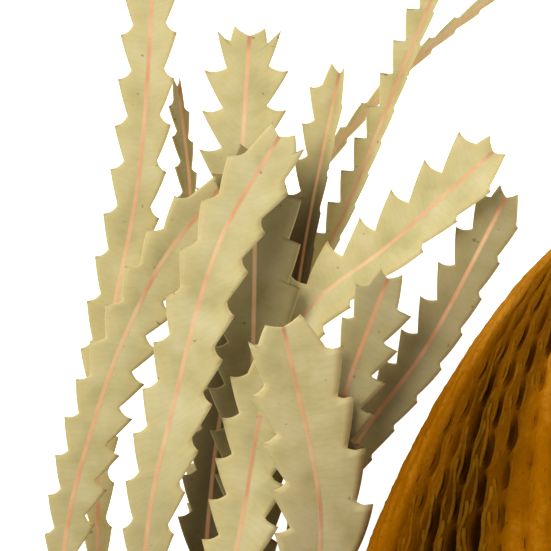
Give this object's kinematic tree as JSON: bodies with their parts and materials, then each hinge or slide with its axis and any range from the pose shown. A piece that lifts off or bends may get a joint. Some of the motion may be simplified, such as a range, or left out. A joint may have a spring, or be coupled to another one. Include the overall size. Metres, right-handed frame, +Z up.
{
  "type": "banksia cone",
  "caption": "Golden-brown flower cone of a banksia on a short woody branch with long saw-toothed leaves, as picked and lying on its side.",
  "frame": {"origin": "where the widest part of the cone rests on the surface", "axes": "+Y from the branch's cut end towards the tips, +X to the cone's right, +Z up"},
  "size_m": [0.2446, 0.2846, 0.089],
  "materials": {
    "florets": "dry fibrous florets, matt",
    "bark": "rough bark",
    "leaf": "dry leathery leaf, matt"
  },
  "bodies": {
    "root": {"cone": "florets", "stem": "bark", "leaf_01": "leaf", "leaf_02": "leaf", "leaf_03": "leaf", "leaf_04": "leaf", "leaf_05": "leaf", "leaf_06": "leaf", "leaf_07": "leaf", "leaf_08": "leaf", "leaf_09": "leaf", "leaf_10": "leaf", "leaf_11": "leaf", "leaf_12": "leaf", "leaf_13": "leaf", "leaf_14": "leaf", "leaf_15": "leaf", "leaf_16": "leaf", "leaf_17": "leaf", "leaf_18": "leaf", "leaf_19": "leaf", "leaf_20": "leaf", "leaf_21": "leaf", "leaf_22": "leaf", "leaf_23": "leaf", "leaf_24": "leaf", "leaf_25": "leaf"}
  },
  "joints": []
}
